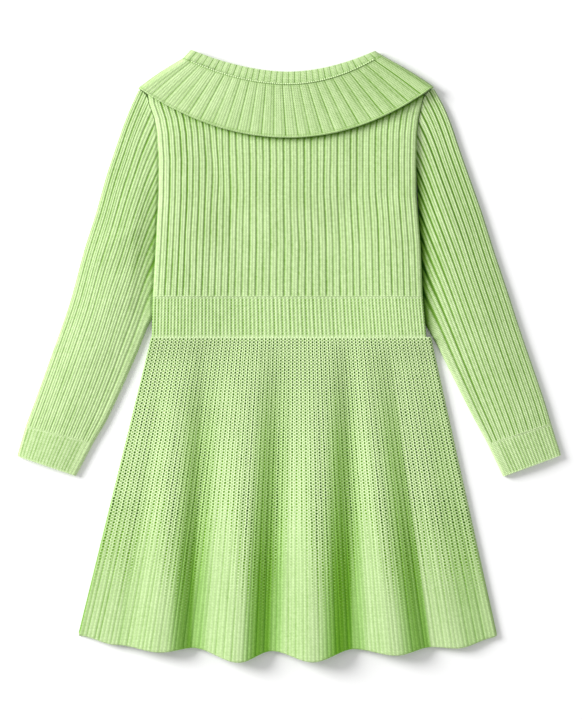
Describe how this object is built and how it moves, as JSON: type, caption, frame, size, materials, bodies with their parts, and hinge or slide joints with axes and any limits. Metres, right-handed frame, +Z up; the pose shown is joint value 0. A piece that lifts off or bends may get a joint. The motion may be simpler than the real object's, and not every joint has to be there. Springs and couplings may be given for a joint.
{
  "type": "knit dress",
  "caption": "Girl's long-sleeved rib-knit dress with a cape collar, fitted waistband and flared mesh-stitch skirt, laid flat with its back uppermost.",
  "frame": {"origin": "middle of the laid dress, on the surface that it lies on", "axes": "+X to the right as the dress is seen from above, +Y towards its neck, +Z up from the surface"},
  "size_m": [0.541, 0.61, 0.0206],
  "materials": {
    "bodice_knit": "matte wide rib knit, light green",
    "waist_knit": "matte fine 1x1 rib knit, light green",
    "skirt_knit": "matte racked mesh knit, light green",
    "sleeve_knit": "matte wide rib knit, light green",
    "cuff_knit": "matte fine rib knit, light green",
    "collar_knit": "matte wide flat rib knit, light green",
    "neckband_knit": "matte rib knit, light green"
  },
  "bodies": {
    "root": {"back_bodice": "bodice_knit", "front_bodice": "bodice_knit", "back_waistband": "waist_knit", "front_waistband": "waist_knit", "back_skirt": "skirt_knit", "front_skirt": "skirt_knit", "sleeve_left": "sleeve_knit", "sleeve_right": "sleeve_knit", "cuff_left": "cuff_knit", "cuff_right": "cuff_knit", "collar": "collar_knit", "neckband": "neckband_knit"}
  },
  "joints": []
}
